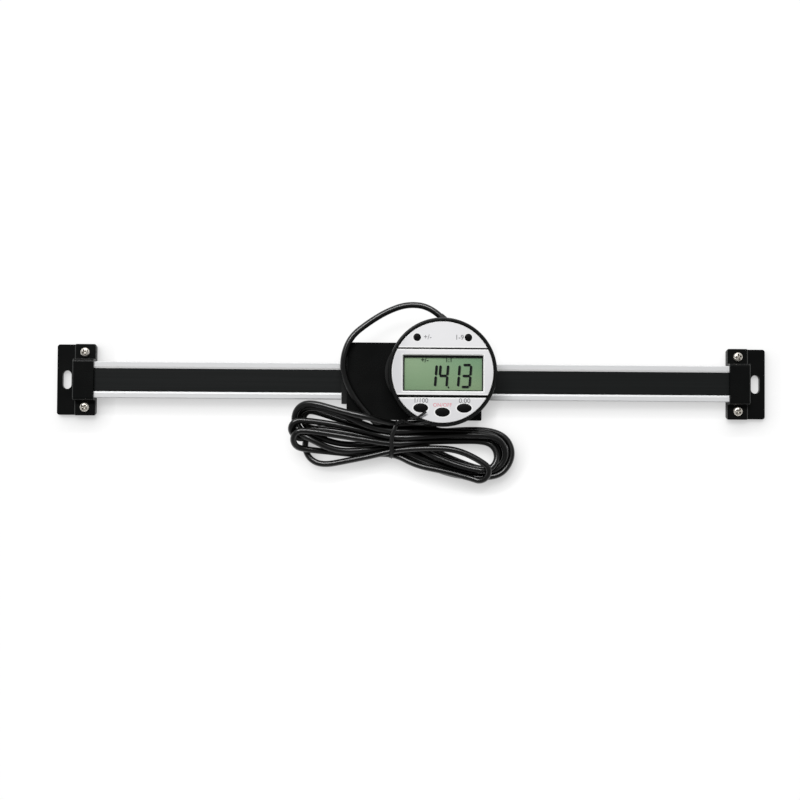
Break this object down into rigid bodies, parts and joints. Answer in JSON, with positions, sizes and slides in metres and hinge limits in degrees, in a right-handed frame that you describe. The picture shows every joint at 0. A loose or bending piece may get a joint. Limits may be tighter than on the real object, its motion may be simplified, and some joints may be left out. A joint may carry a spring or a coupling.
{
  "type": "magnetic linear scale",
  "caption": "Linear scale with a magnetic tape on an aluminium beam, slotted end brackets, a sliding reader head and a round LCD readout on a cord.",
  "frame": {"origin": "middle of the line between the two bracket slots, on the brackets' mounting face", "axes": "+X along the beam, with the digits reading left to right; +Y across the beam towards the round buttons; +Z away from the mounting face, towards the readout"},
  "size_m": [0.394, 0.1003, 0.0259],
  "materials": {
    "beam_aluminium": "satin anodised",
    "tape_rubber": "matt, magnetic powder in rubber",
    "strip_black": "satin black foil",
    "bracket_black": "satin black coating on steel",
    "screw_nickel": "bright nickel",
    "head_black": "black anodised",
    "cover_black": "satin black coating on steel",
    "back_steel": "brushed",
    "fastener_steel": "zinc plated",
    "cap_black": "moulded, fine grain",
    "felt_grey": "pressed felt",
    "glide_white": "natural acetal",
    "spring_steel": "rolled strip",
    "circuit_green": "solder mask",
    "chip_black": "moulded",
    "grommet_rubber": "moulded",
    "case_black": "moulded, fine grain",
    "face_silver": "silver lacquer",
    "window_clear": "clear moulded window",
    "lcd_green": "reflective liquid crystal cell",
    "connector_rubber": "striped elastomer",
    "magnet_nickel": "nickel plated",
    "button_rubber": "matt moulded",
    "cord_black": "smooth glossy jacket",
    "tie_black": "plastic over wire"
  },
  "bodies": {
    "rail": {"rail_beam": "beam_aluminium", "magnetic_tape": "tape_rubber", "tape_cover": "strip_black", "left_bracket_base": "bracket_black", "left_bracket_strap": "bracket_black", "left_bracket_screws": "screw_nickel", "right_bracket_base": "bracket_black", "right_bracket_strap": "bracket_black", "right_bracket_screws": "screw_nickel"},
    "reader_head": {"head_housing": "head_black", "head_cover": "cover_black", "head_back_plate": "back_steel", "back_plate_screws": "fastener_steel", "cover_screws": "fastener_steel", "left_wiper_cap": "cap_black", "right_wiper_cap": "cap_black", "wiper_felts": "felt_grey", "fixed_glide_shoes": "glide_white", "sprung_glide_shoes": "glide_white", "gib_spring": "spring_steel", "sensor_board": "circuit_green", "sensor_chip": "chip_black", "head_gland": "grommet_rubber", "cable_lead": "cord_black", "cable_hank": "cord_black", "cable_tie": "tie_black"},
    "display": {"display_shell": "case_black", "display_back": "case_black", "upper_panel": "face_silver", "window_frame": "face_silver", "lower_panel": "face_silver", "lcd_window": "window_clear", "lcd_panel": "lcd_green", "lcd_connectors": "connector_rubber", "display_board": "circuit_green", "key_switches": "chip_black", "battery_contact": "spring_steel", "display_magnets": "magnet_nickel", "display_screws": "fastener_steel", "display_gland": "grommet_rubber"},
    "drawer": {"battery_drawer": "case_black", "coin_cell": "magnet_nickel"},
    "mode_key": {"mode_button": "button_rubber"},
    "set_key": {"set_button": "button_rubber"},
    "units_key": {"units_button": "button_rubber"},
    "power_key": {"power_button": "button_rubber"},
    "zero_key": {"zero_button": "button_rubber"}
  },
  "joints": [
    {"name": "head_slide", "type": "slide", "parent": "rail", "child": "reader_head", "axis": [1, 0, 0], "range_m": [-0.1, 0.1]},
    {"name": "display_lift", "type": "slide", "parent": "reader_head", "child": "display", "axis": [0, 0, 1], "range_m": [0, 0.025]},
    {"name": "drawer_slide", "type": "slide", "parent": "display", "child": "drawer", "axis": [-1, 0, 0], "range_m": [0, 0.014]},
    {"name": "mode_press", "type": "slide", "parent": "display", "child": "mode_key", "axis": [0, 0, -1], "range_m": [0, 0.0006], "stiffness_N_per_m": 800},
    {"name": "set_press", "type": "slide", "parent": "display", "child": "set_key", "axis": [0, 0, -1], "range_m": [0, 0.0006], "stiffness_N_per_m": 800},
    {"name": "units_press", "type": "slide", "parent": "display", "child": "units_key", "axis": [0, 0, -1], "range_m": [0, 0.0006], "stiffness_N_per_m": 800},
    {"name": "power_press", "type": "slide", "parent": "display", "child": "power_key", "axis": [0, 0, -1], "range_m": [0, 0.0006], "stiffness_N_per_m": 800},
    {"name": "zero_press", "type": "slide", "parent": "display", "child": "zero_key", "axis": [0, 0, -1], "range_m": [0, 0.0006], "stiffness_N_per_m": 800}
  ]
}
